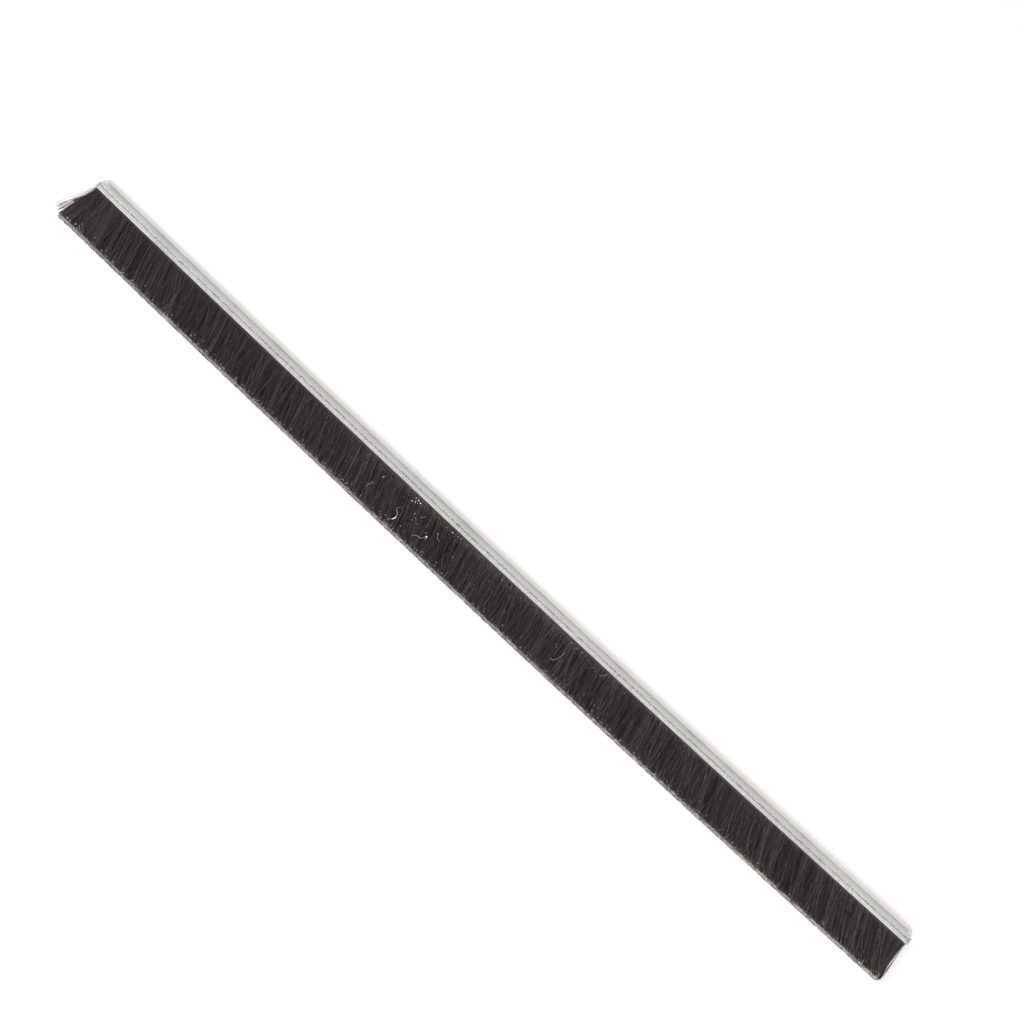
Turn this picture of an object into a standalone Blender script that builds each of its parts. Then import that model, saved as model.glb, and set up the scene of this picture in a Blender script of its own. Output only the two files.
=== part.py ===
"""Brush seal strip: a metre of dense black filament brush clenched in a metal channel with a rear fixing flange.

The strip lies flat as it would on a bench. X runs along it, the bristle tips point to -Y, the flange to +Y.
Sections are drawn in the YZ plane from the channel's mouth, at y = 0, and the floor, at z = 0.
"""

import math

import bmesh
import bpy
from mathutils import Matrix, Vector

# Length of the cut stock and how far the free strip bows towards its tips
LENGTH = 1.000
SWEEP = 0.0047
BOW_STEP = 0.050

# Channel profile
WALL = 0.0009
CHANNEL_DEPTH = 0.0074
MOUTH_HEIGHT = 0.0056
BACK_HEIGHT = 0.0062
BACK_RADIUS = 0.0012
INNER_RADIUS = 0.0005
EDGE_RADIUS = 0.0003

# Clenched jaws: each turns in towards the bristles
JAW_TURN = 0.00045
JAW_LENGTH = 0.0009
JAW_SLOPE_LENGTH = 0.0008

# Rolled clench groove along the upper leg, set back from the channel's rear face
GROOVE_SETBACK = 0.0029
GROOVE_WIDTH = 0.0009
GROOVE_DEPTH = 0.0003

# Rear fixing flange with its raised rim
FLANGE_DEPTH = 0.0070
RIM_HEIGHT = 0.0024
RIM_WIDTH = 0.0008

# Core wire that the filaments are folded round
WIRE_DIAMETER = 0.0014

# Bristle pack, which stops short of the channel's cut ends
FREE_LENGTH = 0.0470
END_INSET = 0.0020
TIP_THICKNESS = 0.0077
TIP_RADIUS = 0.0006
SWELL_REACH = 0.0030
SWELL = 0.0005
SETTLE_REACH = 0.0180
TRIM_SLANT = 0.0004

# Lean of the bristles at the two ends, outwards positive
START_SPLAY = math.radians(5.2)
END_SPLAY = math.radians(-3.2)
START_SPLAY_REACH = 0.060
END_SPLAY_REACH = 0.040
SPLAY_STEP = 0.010

# Single stray bristles beside the pack at each end, by their lean in degrees, the outermost last
START_STRAYS = (8.5, 10.2, 12.0, 13.8, 15.5)
END_STRAYS = (-1.2, 0.4)
STRAY_DIAMETER = 0.0003
STRAY_LENGTH = 0.0430
STRAY_SPACING = 0.00035
STRAY_FAN = 0.0020
STRAY_POINTS = 6

# Gap that touching pieces keep
CLEARANCE = 0.0003

ARC_STEPS = 6
FOLD_STEPS = 14
BORE_STEPS = 16


def stray_root(index):
    """How far past the pack's end a stray leaves the mouth, counted from the pack."""
    return CLEARANCE + STRAY_DIAMETER / 2 + index * STRAY_SPACING


def reach_past_cut(splay_angle, strays):
    """How far the pack or the outermost stray reaches past the channel's cut end."""
    pack = FREE_LENGTH * math.sin(splay_angle) - END_INSET
    lean = math.radians(strays[-1])
    stray = stray_root(len(strays) - 1) - END_INSET + STRAY_LENGTH * math.sin(lean)
    return max(0.0, pack, stray + STRAY_DIAMETER / 2 * math.cos(lean))


# The origin is under the middle of the strip's box, and the sections are drawn from the channel's mouth
MOUTH_X = (reach_past_cut(START_SPLAY, START_STRAYS) - reach_past_cut(END_SPLAY, END_STRAYS)) / 2
MOUTH_Y = (FREE_LENGTH + SWEEP - CHANNEL_DEPTH - FLANGE_DEPTH) / 2


def clear_scene():
    for obj in list(bpy.data.objects):
        bpy.data.objects.remove(obj, do_unlink=True)


def new_collection(name):
    collection = bpy.data.collections.new(name)
    bpy.context.scene.collection.children.link(collection)
    return collection


def new_material(name, colour, roughness, metallic):
    material = bpy.data.materials.new(name)
    material.use_nodes = True
    shader = material.node_tree.nodes["Principled BSDF"]
    shader.inputs["Base Color"].default_value = (*colour, 1.0)
    shader.inputs["Roughness"].default_value = roughness
    shader.inputs["Metallic"].default_value = metallic
    return material


def arc(centre, radius, start, end, steps=ARC_STEPS):
    """Points of an arc in the section plane, by its angles in degrees."""
    angles = [math.radians(start + (end - start) * i / steps) for i in range(steps + 1)]
    return [(centre[0] + radius * math.cos(a), centre[1] + radius * math.sin(a)) for a in angles]


def bow_stations():
    """Places along the strip between which it runs straight, so that its facets follow the bow."""
    count = 2 * max(1, round(LENGTH / 2 / BOW_STEP))
    return [LENGTH * (i / count - 0.5) for i in range(count + 1)]


def splay_stations():
    """The bow's places, and closer ones where the bristles splay at the two ends."""
    places = {round(x, 6) for x in bow_stations()}
    for reach, end, inward in ((START_SPLAY_REACH, -LENGTH / 2, 1), (END_SPLAY_REACH, LENGTH / 2, -1)):
        steps = round(reach / SPLAY_STEP)
        places |= {round(end + inward * reach * i / steps, 6) for i in range(1, steps + 1)}
    return sorted(places)


def bow(x):
    """How far the strip has bowed towards its tips at x along it."""
    return -SWEEP * (1 - (2 * x / LENGTH) ** 2)


def splay(x):
    """Angle of the bristles at x, from straight out, positive towards +X."""
    from_start = min(1.0, (x + LENGTH / 2) / START_SPLAY_REACH)
    from_end = min(1.0, (LENGTH / 2 - x) / END_SPLAY_REACH)
    return END_SPLAY * (1 - from_end) ** 2 - START_SPLAY * (1 - from_start) ** 2


def extruded_section(name, loops, length):
    """Mesh of a section filled between its loops and drawn out along X over a length."""
    curve = bpy.data.curves.new(name, "CURVE")
    curve.dimensions = "2D"
    curve.fill_mode = "BOTH"
    curve.extrude = length / 2
    for loop in loops:
        spline = curve.splines.new("POLY")
        spline.points.add(len(loop) - 1)
        spline.use_cyclic_u = True
        for point, (y, z) in zip(spline.points, loop):
            point.co = (y, z, 0, 1)
    drawn = bpy.data.objects.new(name + "_section", curve)
    bpy.context.scene.collection.objects.link(drawn)
    bpy.context.view_layer.update()
    evaluated = drawn.evaluated_get(bpy.context.evaluated_depsgraph_get())
    mesh = bpy.data.meshes.new_from_object(evaluated)
    bpy.data.objects.remove(drawn, do_unlink=True)
    mesh.name = name
    section_to_strip = Matrix(((0, 0, 1, 0), (1, 0, 0, 0), (0, 1, 0, 0), (0, 0, 0, 1)))
    mesh.transform(section_to_strip)
    return mesh


def planes_across(stations):
    """A cutting plane square to the strip at each station between its ends."""
    return [(Vector((x, 0, 0)), Vector((1, 0, 0))) for x in stations[1:-1]]


def shape_along_strip(mesh, planes, place):
    """Welds the caps, cuts the mesh along the planes, and moves each vertex to place(point)."""
    shaped = bmesh.new()
    shaped.from_mesh(mesh)
    bmesh.ops.remove_doubles(shaped, verts=shaped.verts, dist=0.00001)
    for point, normal in planes:
        everything = shaped.verts[:] + shaped.edges[:] + shaped.faces[:]
        bmesh.ops.bisect_plane(shaped, geom=everything, dist=0.000001, plane_co=point, plane_no=normal)
    for vertex in shaped.verts:
        vertex.co = place(vertex.co)
    bmesh.ops.triangulate(shaped, faces=[face for face in shaped.faces if len(face.verts) > 4])
    bmesh.ops.recalc_face_normals(shaped, faces=shaped.faces)
    shaped.to_mesh(mesh)
    shaped.free()


def add_piece(mesh, material, datum, collection):
    mesh.materials.clear()
    mesh.materials.append(material)
    mesh.shade_smooth()
    mesh.set_sharp_from_angle(angle=math.radians(35))
    piece = bpy.data.objects.new(mesh.name, mesh)
    piece.parent = datum
    collection.objects.link(piece)
    return piece


def leg_top(y):
    """Height of the upper leg's outer face, which rises from the mouth to the back."""
    return MOUTH_HEIGHT + (BACK_HEIGHT - MOUTH_HEIGHT) * y / (CHANNEL_DEPTH - BACK_RADIUS)


def jaw_outline(inner_face, inward):
    """One jaw's inner side from the mouth in: its turned-in nose, then the slope out to the leg's inner face."""
    nose = inner_face + inward * JAW_TURN
    return [
        (0.0, nose - inward * EDGE_RADIUS),
        (EDGE_RADIUS, nose),
        (JAW_LENGTH, nose),
        (JAW_LENGTH + JAW_SLOPE_LENGTH, inner_face),
    ]


def channel_outline():
    """Section of the profile, from its lower front edge round the flange, the back and both jaws."""
    rear = CHANNEL_DEPTH + FLANGE_DEPTH
    inner_back = CHANNEL_DEPTH - WALL
    groove = CHANNEL_DEPTH - GROOVE_SETBACK
    upper_inner = MOUTH_HEIGHT - WALL
    back_inner = BACK_HEIGHT - WALL
    underside = arc((EDGE_RADIUS, EDGE_RADIUS), EDGE_RADIUS, 180, 270)
    underside += arc((rear - EDGE_RADIUS, EDGE_RADIUS), EDGE_RADIUS, 270, 360)
    rim = arc((rear - RIM_WIDTH / 2, RIM_HEIGHT - RIM_WIDTH / 2), RIM_WIDTH / 2, 0, 180)
    flange = arc((rear - RIM_WIDTH - EDGE_RADIUS, WALL + EDGE_RADIUS), EDGE_RADIUS, 360, 270)
    flange += arc((CHANNEL_DEPTH + EDGE_RADIUS, WALL + EDGE_RADIUS), EDGE_RADIUS, 270, 180)
    crest = arc((CHANNEL_DEPTH - BACK_RADIUS, BACK_HEIGHT - BACK_RADIUS), BACK_RADIUS, 0, 90)
    clench = [
        (groove + GROOVE_WIDTH / 2, leg_top(groove + GROOVE_WIDTH / 2)),
        (groove + GROOVE_WIDTH / 6, leg_top(groove) - GROOVE_DEPTH),
        (groove - GROOVE_WIDTH / 6, leg_top(groove) - GROOVE_DEPTH),
        (groove - GROOVE_WIDTH / 2, leg_top(groove - GROOVE_WIDTH / 2)),
    ]
    nose = arc((EDGE_RADIUS, MOUTH_HEIGHT - EDGE_RADIUS), EDGE_RADIUS, 90, 180)
    upper_jaw = jaw_outline(upper_inner, -1)
    cavity = arc((inner_back - INNER_RADIUS, back_inner - INNER_RADIUS), INNER_RADIUS, 90, 0)
    cavity += arc((inner_back - INNER_RADIUS, WALL + INNER_RADIUS), INNER_RADIUS, 0, -90)
    lower_jaw = jaw_outline(WALL, 1)[::-1]
    return underside + rim + flange + crest + clench + nose + upper_jaw + cavity + lower_jaw


def make_channel(material, datum, collection):
    mesh = extruded_section("channel_profile", [channel_outline()], LENGTH)
    planes = planes_across(bow_stations())
    shape_along_strip(mesh, planes, lambda point: Vector((point.x, point.y + bow(point.x), point.z)))
    return add_piece(mesh, material, datum, collection)


# The pack fills the channel's cavity, folded round the core wire
FOLD_RADIUS = (MOUTH_HEIGHT - 2 * WALL) / 2 - CLEARANCE
FOLD_Y = CHANNEL_DEPTH - WALL - CLEARANCE - FOLD_RADIUS
FOLD_Z = MOUTH_HEIGHT / 2
NECK_HALF = FOLD_RADIUS - JAW_TURN


def add_round_wire(name, diameter, route, material, datum, collection):
    """A round wire or filament along the points of its route."""
    curve = bpy.data.curves.new(name, "CURVE")
    curve.dimensions = "3D"
    curve.bevel_depth = diameter / 2
    curve.bevel_resolution = 2
    curve.use_fill_caps = True
    spline = curve.splines.new("POLY")
    spline.points.add(len(route) - 1)
    for point, place in zip(spline.points, route):
        point.co = (*place, 1)
    curve.materials.append(material)
    wire = bpy.data.objects.new(name, curve)
    wire.parent = datum
    collection.objects.link(wire)
    return wire


def make_core_wire(material, datum, collection):
    route = [(x, FOLD_Y + bow(x), FOLD_Z) for x in bow_stations()]
    return add_round_wire("core_wire", WIRE_DIAMETER, route, material, datum, collection)


def pack_outline():
    """Section of the pack: the fold, the neck between the jaws, and the fan out to the trimmed tips."""
    widens = JAW_LENGTH + JAW_SLOPE_LENGTH + CLEARANCE
    neck_ends = JAW_LENGTH
    fold = arc((FOLD_Y, FOLD_Z), FOLD_RADIUS, -90, 90, FOLD_STEPS)
    tip_top = arc((-FREE_LENGTH + TRIM_SLANT + TIP_RADIUS, TIP_THICKNESS - TIP_RADIUS), TIP_RADIUS, 90, 180)
    tip_bottom = arc((-FREE_LENGTH + TIP_RADIUS, TIP_RADIUS), TIP_RADIUS, 180, 270)
    return [
        *fold,
        (widens, FOLD_Z + FOLD_RADIUS),
        (neck_ends, FOLD_Z + NECK_HALF),
        (-CLEARANCE, FOLD_Z + NECK_HALF),
        (-SWELL_REACH, FOLD_Z + NECK_HALF + SWELL),
        *tip_top,
        *tip_bottom,
        (-SETTLE_REACH, 0.0),
        (-SWELL_REACH, FOLD_Z - NECK_HALF - SWELL),
        (-CLEARANCE, FOLD_Z - NECK_HALF),
        (neck_ends, FOLD_Z - NECK_HALF),
        (widens, FOLD_Z - FOLD_RADIUS),
    ]


def splayed(point):
    """The pack leans bodily with its bristles, which turn about their roots at the channel's mouth."""
    free = max(0.0, -point.y)
    angle = splay(point.x)
    y = point.y if free == 0.0 else -free * math.cos(angle)
    return Vector((point.x + free * math.sin(angle), y + bow(point.x), point.z))


def make_bristle_pack(material, datum, collection):
    bore = arc((FOLD_Y, FOLD_Z), WIRE_DIAMETER / 2 + CLEARANCE, 0, 360, BORE_STEPS)[:-1]
    mesh = extruded_section("bristle_pack", [pack_outline(), bore], LENGTH - 2 * END_INSET)
    mouth_plane = (Vector((0, 0, 0)), Vector((0, 1, 0)))
    shape_along_strip(mesh, [mouth_plane, *planes_across(splay_stations())], splayed)
    return add_piece(mesh, material, datum, collection)


def stray_route(end, index, lean):
    """Points of one stray bristle: straight out between the jaws, then leaning away from the pack."""
    side = 1 if index % 2 == 0 else -1
    root_x = end * (LENGTH / 2 - END_INSET + stray_root(index))
    root_z = FOLD_Z + side * (NECK_HALF - STRAY_DIAMETER / 2)
    tip_z = TIP_THICKNESS / 2 + side * STRAY_FAN
    route = [(root_x, JAW_LENGTH + bow(root_x), root_z)]
    for i in range(STRAY_POINTS):
        share = i / (STRAY_POINTS - 1)
        x = root_x + end * share * STRAY_LENGTH * math.sin(lean)
        y = bow(root_x) - share * STRAY_LENGTH * math.cos(lean)
        route.append((x, y, root_z + share * (tip_z - root_z)))
    return route


def make_stray_bristles(material, datum, collection):
    number = 0
    for end, strays in ((-1, START_STRAYS), (1, END_STRAYS)):
        for index, degrees in enumerate(strays):
            number += 1
            route = stray_route(end, index, math.radians(degrees))
            add_round_wire(f"stray_bristle_{number}", STRAY_DIAMETER, route, material, datum, collection)


clear_scene()
strip = new_collection("brush_seal_strip")
mouth_datum = bpy.data.objects.new("mouth_datum", None)
mouth_datum.location = (MOUTH_X, MOUTH_Y, 0)
strip.objects.link(mouth_datum)

mill_aluminium = new_material("mill_aluminium", (0.58, 0.59, 0.60), 0.38, 1.0)
bright_steel_wire = new_material("bright_steel_wire", (0.50, 0.49, 0.48), 0.35, 1.0)
black_nylon = new_material("black_nylon", (0.035, 0.030, 0.028), 0.55, 0.0)

make_channel(mill_aluminium, mouth_datum, strip)
make_core_wire(bright_steel_wire, mouth_datum, strip)
make_bristle_pack(black_nylon, mouth_datum, strip)
make_stray_bristles(black_nylon, mouth_datum, strip)
bpy.context.view_layer.update()
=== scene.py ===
"""Brush seal strip: black nylon filaments folded round a steel wire and clenched in an aluminium channel.

Each section makes one piece, or one group of like pieces, in the order in which the strip is put together.
Lengths are in metres, unless a name ends in MM.
"""

import math

import bmesh
import bpy
import numpy as np
from mathutils import Matrix, Vector


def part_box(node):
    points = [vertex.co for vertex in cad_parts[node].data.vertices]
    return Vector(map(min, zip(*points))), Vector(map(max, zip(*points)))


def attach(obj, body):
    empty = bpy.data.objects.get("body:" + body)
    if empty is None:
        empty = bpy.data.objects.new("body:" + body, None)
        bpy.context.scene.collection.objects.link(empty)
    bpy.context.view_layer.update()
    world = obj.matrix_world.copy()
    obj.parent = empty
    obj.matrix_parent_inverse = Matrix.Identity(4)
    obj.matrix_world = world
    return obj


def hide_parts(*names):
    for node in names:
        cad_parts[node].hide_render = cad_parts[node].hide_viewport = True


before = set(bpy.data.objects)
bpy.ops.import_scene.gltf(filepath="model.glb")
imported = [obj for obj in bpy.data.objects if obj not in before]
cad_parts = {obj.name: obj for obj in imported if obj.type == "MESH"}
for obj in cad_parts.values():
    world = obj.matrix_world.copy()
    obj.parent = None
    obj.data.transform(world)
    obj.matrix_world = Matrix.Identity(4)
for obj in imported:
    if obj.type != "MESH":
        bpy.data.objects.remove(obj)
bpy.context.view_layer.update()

# The view
# The strip is seen square to its length, from the bristles' side and steeply from above. The picture is
# turned, so that a metre of strip fits its square frame from corner to corner.
VIEW_ELEVATION = math.radians(59.04)
VIEW_ROLL = math.radians(43.07)
VIEW_DISTANCE = 2.3
VIEW_TARGET = Vector((-0.0200, 0.0703, 0.0))
SENSOR_WIDTH_MM = 36.0
FOCAL_LENGTH_MM = 88.64


def turned_camera():
    to_camera = Vector((0, -math.cos(VIEW_ELEVATION), math.sin(VIEW_ELEVATION)))
    level = Vector((1, 0, 0))
    above = to_camera.cross(level)
    right = level * math.cos(VIEW_ROLL) + above * math.sin(VIEW_ROLL)
    up = above * math.cos(VIEW_ROLL) - level * math.sin(VIEW_ROLL)
    data = bpy.data.cameras.new("photo_view")
    data.sensor_fit = "HORIZONTAL"
    data.sensor_width = SENSOR_WIDTH_MM
    data.lens = FOCAL_LENGTH_MM
    camera = bpy.data.objects.new("photo_view", data)
    place = Matrix((right, up, to_camera)).transposed().to_4x4()
    place.translation = VIEW_TARGET + to_camera * VIEW_DISTANCE
    camera.matrix_world = place
    bpy.context.scene.collection.objects.link(camera)
    return camera


bpy.context.scene.camera = turned_camera()
bpy.context.scene.view_settings.view_transform = "Standard"

# The table and the light
# A white table, washed out by two soft boxes to the left and right of the bristles' side, low enough to
# throw the channel's shadow behind it. A warm white room fills the shadows, its walls more than its ceiling.
TABLE_SIZE = 6.0
TABLE_WHITE = "F8F9FA"
TABLE_ROUGHNESS = 0.9
ROOM_WHITE = "FFF9F3"
WALL_STRENGTH = 1.02
CEILING_STRENGTH = 0.65
SOFT_BOX_BEARING = math.radians(50.0)
SOFT_BOX_HEIGHT_ANGLE = {"left": math.radians(14.6), "right": math.radians(11.5)}
SOFT_BOX_DISTANCE = 2.6
SOFT_BOX_SIZE = 0.48
SOFT_BOX_POWER = {"left": 98.0, "right": 72.0}
SOFT_BOX_WHITE = "F2F7FF"


def linear(hex_colour):
    """Linear RGBA of an sRGB colour such as "C8CACC"."""
    values = [int(hex_colour[i : i + 2], 16) / 255 for i in (0, 2, 4)]
    channels = [v / 12.92 if v <= 0.04045 else ((v + 0.055) / 1.055) ** 2.4 for v in values]
    return (*channels, 1.0)


def new_material(name):
    """An empty node material with its output and its Principled shader."""
    material = bpy.data.materials.new(name)
    material.use_nodes = True
    tree = material.node_tree
    tree.nodes.clear()
    output = tree.nodes.new("ShaderNodeOutputMaterial")
    shader = tree.nodes.new("ShaderNodeBsdfPrincipled")
    tree.links.new(shader.outputs["BSDF"], output.inputs["Surface"])
    return material, tree, shader


def add_node(tree, kind, settings=None, links=None):
    """Adds a node. links maps each input, by its name or number, to another node's output or to a value."""
    node = tree.nodes.new(kind)
    for name, value in (settings or {}).items():
        setattr(node, name, value)
    for name, value in (links or {}).items():
        if isinstance(value, bpy.types.NodeSocket):
            tree.links.new(value, node.inputs[name])
        else:
            node.inputs[name].default_value = value
    return node


def maths(tree, operation, *terms, clamp=False):
    """The result of a maths node on outputs or numbers."""
    settings = {"operation": operation, "use_clamp": clamp}
    return add_node(tree, "ShaderNodeMath", settings, dict(enumerate(terms))).outputs[0]


def ranged(tree, value, low, high, start, end, smooth=False):
    """A value whose range from low to high becomes start to end, and which stays there beyond that range."""
    settings = {"interpolation_type": "SMOOTHSTEP" if smooth else "LINEAR"}
    links = {0: value, 1: low, 2: high, 3: start, 4: end}
    return add_node(tree, "ShaderNodeMapRange", settings, links).outputs[0]


def white_table():
    mesh = bpy.data.meshes.new("table")
    plane = bmesh.new()
    bmesh.ops.create_grid(plane, x_segments=1, y_segments=1, size=TABLE_SIZE / 2)
    plane.to_mesh(mesh)
    plane.free()
    table = bpy.data.objects.new("table", mesh)
    bpy.context.scene.collection.objects.link(table)
    material, tree, shader = new_material("matt_white_paper")
    shader.inputs["Base Color"].default_value = linear(TABLE_WHITE)
    shader.inputs["Roughness"].default_value = TABLE_ROUGHNESS
    mesh.materials.append(material)


def soft_box(where, side):
    """A square light at one side of the bristles' side, turned to the strip."""
    flat = math.cos(SOFT_BOX_HEIGHT_ANGLE[where])
    rise = math.sin(SOFT_BOX_HEIGHT_ANGLE[where])
    bearing = Vector((side * flat * math.sin(SOFT_BOX_BEARING), -flat * math.cos(SOFT_BOX_BEARING), rise))
    data = bpy.data.lights.new("soft_box_" + where, "AREA")
    data.shape = "SQUARE"
    data.size = SOFT_BOX_SIZE
    data.energy = SOFT_BOX_POWER[where]
    data.color = linear(SOFT_BOX_WHITE)[:3]
    light = bpy.data.objects.new("soft_box_" + where, data)
    light.location = bearing * SOFT_BOX_DISTANCE
    light.rotation_euler = bearing.to_track_quat("Z", "Y").to_euler()
    bpy.context.scene.collection.objects.link(light)


def white_room():
    world = bpy.data.worlds.new("white_room")
    world.use_nodes = True
    tree = world.node_tree
    background = tree.nodes["Background"]
    background.inputs["Color"].default_value = linear(ROOM_WHITE)
    way = add_node(tree, "ShaderNodeTexCoord").outputs["Generated"]
    height = add_node(tree, "ShaderNodeSeparateXYZ", links={0: way}).outputs["Z"]
    square = maths(tree, "MULTIPLY", height, height)
    strength = ranged(tree, square, 0.0, 1.0, WALL_STRENGTH, CEILING_STRENGTH)
    tree.links.new(strength, background.inputs["Strength"])
    bpy.context.scene.world = world


white_table()
soft_box("left", -1)
soft_box("right", 1)
white_room()

# Channel profile
# One length of aluminium section: a shallow channel with both jaws clenched on the filaments, a rolled
# groove and a rear flange with a raised rim. It is mill finish, drawn lengthwise and sheared to length. It
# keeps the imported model's mesh, so here it only gets its finish.
ALUMINIUM = "DEE2E5"
ALUMINIUM_STAIN = "C4C8CB"
# Painted light: lighter copies of the aluminium brighten the jaw, and the flange and rim in the channel's
# shadow.
ALUMINIUM_JAW_PAINTED_LIGHT = "F6F3F5"
ALUMINIUM_FLANGE_PAINTED_LIGHT = "EBEEF2"
ALUMINIUM_RIM_PAINTED_LIGHT = "FAFAFC"
# Grime and painted shade: this colour darkens the clench groove in patches.
GROOVE_GRIME_AND_SHADE = "5E5A56"
CUT_END_DARKENING = "A7A7A8"
EDGE_ROUNDING = 0.0005
SWEEP = 0.0047
CHANNEL_LOW, CHANNEL_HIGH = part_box("channel_profile")
STRIP_LENGTH = CHANNEL_HIGH.x - CHANNEL_LOW.x
MOUTH_X = (CHANNEL_LOW.x + CHANNEL_HIGH.x) / 2
MOUTH_Y = CHANNEL_LOW.y + SWEEP
# How far behind the channel's mouth one part of the section passes into the next, and where the groove lies.
# Then the height of the upper leg's face, and how far from the cut ends the darkening begins and is full.
JAW_END = (0.0030, 0.0042)
FLANGE_START = (0.0080, 0.0095)
RIM_START = (0.0132, 0.0136)
GROOVE_FROM_MOUTH = 0.00425
GROOVE_GRIME_AND_SHADE_WIDTH = 0.00155
UPPER_LEG_HEIGHT = (0.0048, 0.0050)
DARKENING_FROM_END = (0.0030, 0.0002)
CUT_END_DARKENING_SHARE = 0.8
# The draw lines, which are drawn coarser than most real ones so that they show, the stains and the speckle.
# A noise's values lie mostly between 0.3 and 0.7, so a narrower range makes harder patches.
DRAW_LINE_MM = 0.35
DRAW_LINE_LENGTH_MM = 60.0
DRAW_LINE_DEPTH = 0.00006
DRAW_LINE_BUMP = 0.35
DRAW_LINE_ROUGHNESS = (0.36, 0.54)
NOISE_RANGE = (0.3, 0.7)
STAIN_MM = 45.0
STAIN_RANGE = (0.45, 0.75)
STAIN_SHARE = 0.4
SPECKLE_MM = 1.3
SPECKLE_RANGE = (0.35, 0.68)
SPECKLED_JAW_END = (0.0035, 0.0060)
SPECKLE_SHARE = (0.75, 0.45)
GRIME_AND_SHADE_RANGE = (0.38, 0.62)
GRIME_AND_SHADE_SHARE = (0.2, 0.7)
GRIME_ROUGHNESS = 0.4
RIM_POLISH = -0.3


def noise(tree, place, scale, detail):
    """The value of a noise texture at a place, with scale cells to the metre."""
    links = {"Vector": place, "Scale": scale, "Detail": detail}
    return add_node(tree, "ShaderNodeTexNoise", links=links).outputs[0]


def mixed(tree, share, first, second):
    """The first colour with a share of the second."""
    node = add_node(tree, "ShaderNodeMix", {"data_type": "RGBA"}, {0: share, 6: first, 7: second})
    return node.outputs[2]


def from_mouth(tree, place):
    """Shader distances along the strip from its middle, across it from its bowed mouth, and up."""
    axes = add_node(tree, "ShaderNodeSeparateXYZ", links={0: place}).outputs
    along = maths(tree, "SUBTRACT", axes["X"], MOUTH_X)
    share = maths(tree, "DIVIDE", along, STRIP_LENGTH / 2)
    square = maths(tree, "MULTIPLY", share, share)
    straight = maths(tree, "MULTIPLY_ADD", square, -SWEEP, SWEEP - MOUTH_Y)
    across = maths(tree, "ADD", axes["Y"], straight)
    return along, across, axes["Z"]


def mill_aluminium():
    """Drawn aluminium: lengthwise draw lines catch the light as fine streaks, over faint stains and speckle.

    Painted light brightens the jaw, the flange and the rim, which is also smoother. Grime and painted
    shade darken the clench groove in patches. The metal is darker towards the two cut ends. All edges
    are a little round.
    """
    material, tree, shader = new_material("mill_aluminium")
    place = add_node(tree, "ShaderNodeTexCoord").outputs["Object"]
    along, across, height = from_mouth(tree, place)
    lines_scale = (1000 / DRAW_LINE_LENGTH_MM, 1000 / DRAW_LINE_MM, 1000 / DRAW_LINE_MM)
    stretched = add_node(tree, "ShaderNodeMapping", links={"Vector": place, "Scale": lines_scale}).outputs[0]
    lines = noise(tree, stretched, 1.0, 3.0)
    specks = noise(tree, place, 1000 / SPECKLE_MM, 2.0)

    stain = ranged(tree, noise(tree, place, 1000 / STAIN_MM, 4.0), *STAIN_RANGE, 0.0, STAIN_SHARE)
    speckle_share = ranged(tree, across, *SPECKLED_JAW_END, *SPECKLE_SHARE)
    speckle = ranged(tree, specks, *SPECKLE_RANGE, 0.0, speckle_share)
    dulled = maths(tree, "ADD", stain, speckle, clamp=True)
    on_jaw = ranged(tree, across, *JAW_END, 1.0, 0.0)
    on_flange = ranged(tree, across, *FLANGE_START, 0.0, 1.0)
    on_rim = ranged(tree, across, *RIM_START, 0.0, 1.0)

    # The clench groove, darkened in patches by dirt and painted shade.
    off_groove = maths(tree, "ABSOLUTE", maths(tree, "SUBTRACT", across, GROOVE_FROM_MOUTH))
    patchy = ranged(tree, specks, *GRIME_AND_SHADE_RANGE, *GRIME_AND_SHADE_SHARE)
    in_groove = ranged(
        tree, off_groove, GROOVE_GRIME_AND_SHADE_WIDTH * 0.3, GROOVE_GRIME_AND_SHADE_WIDTH, patchy, 0.0, smooth=True
    )
    on_top = ranged(tree, height, *UPPER_LEG_HEIGHT, 0.0, 1.0)
    grime_and_shade = maths(tree, "MULTIPLY", in_groove, on_top)

    darkening_start, darkening_full = (STRIP_LENGTH / 2 - inside for inside in DARKENING_FROM_END)
    reach = maths(tree, "ABSOLUTE", along)
    sheared = ranged(tree, reach, darkening_start, darkening_full, 0.0, CUT_END_DARKENING_SHARE, smooth=True)
    dark_end = maths(tree, "MULTIPLY", sheared, maths(tree, "SUBTRACT", 1.0, on_flange))

    # Painted light on the jaw, flange and rim, painted shade with the groove's dirt, then darker cut ends.
    colour = linear(ALUMINIUM)
    for share, other in (
        (on_jaw, ALUMINIUM_JAW_PAINTED_LIGHT),
        (on_flange, ALUMINIUM_FLANGE_PAINTED_LIGHT),
        (on_rim, ALUMINIUM_RIM_PAINTED_LIGHT),
        (dulled, ALUMINIUM_STAIN),
        (grime_and_shade, GROOVE_GRIME_AND_SHADE),
        (dark_end, CUT_END_DARKENING),
    ):
        colour = mixed(tree, share, colour, linear(other))

    line_roughness = ranged(tree, lines, *NOISE_RANGE, *DRAW_LINE_ROUGHNESS)
    grimy_roughness = maths(tree, "MULTIPLY_ADD", grime_and_shade, GRIME_ROUGHNESS, line_roughness)
    roughness = maths(tree, "MULTIPLY_ADD", on_rim, RIM_POLISH, grimy_roughness)
    rounded = add_node(tree, "ShaderNodeBevel", {"samples": 6}, {"Radius": EDGE_ROUNDING}).outputs[0]
    relief = {"Strength": DRAW_LINE_BUMP, "Distance": DRAW_LINE_DEPTH, "Height": lines, "Normal": rounded}
    bump = add_node(tree, "ShaderNodeBump", links=relief).outputs[0]
    tree.links.new(colour, shader.inputs["Base Color"])
    tree.links.new(roughness, shader.inputs["Roughness"])
    tree.links.new(bump, shader.inputs["Normal"])
    shader.inputs["Metallic"].default_value = 1.0
    return material


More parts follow.
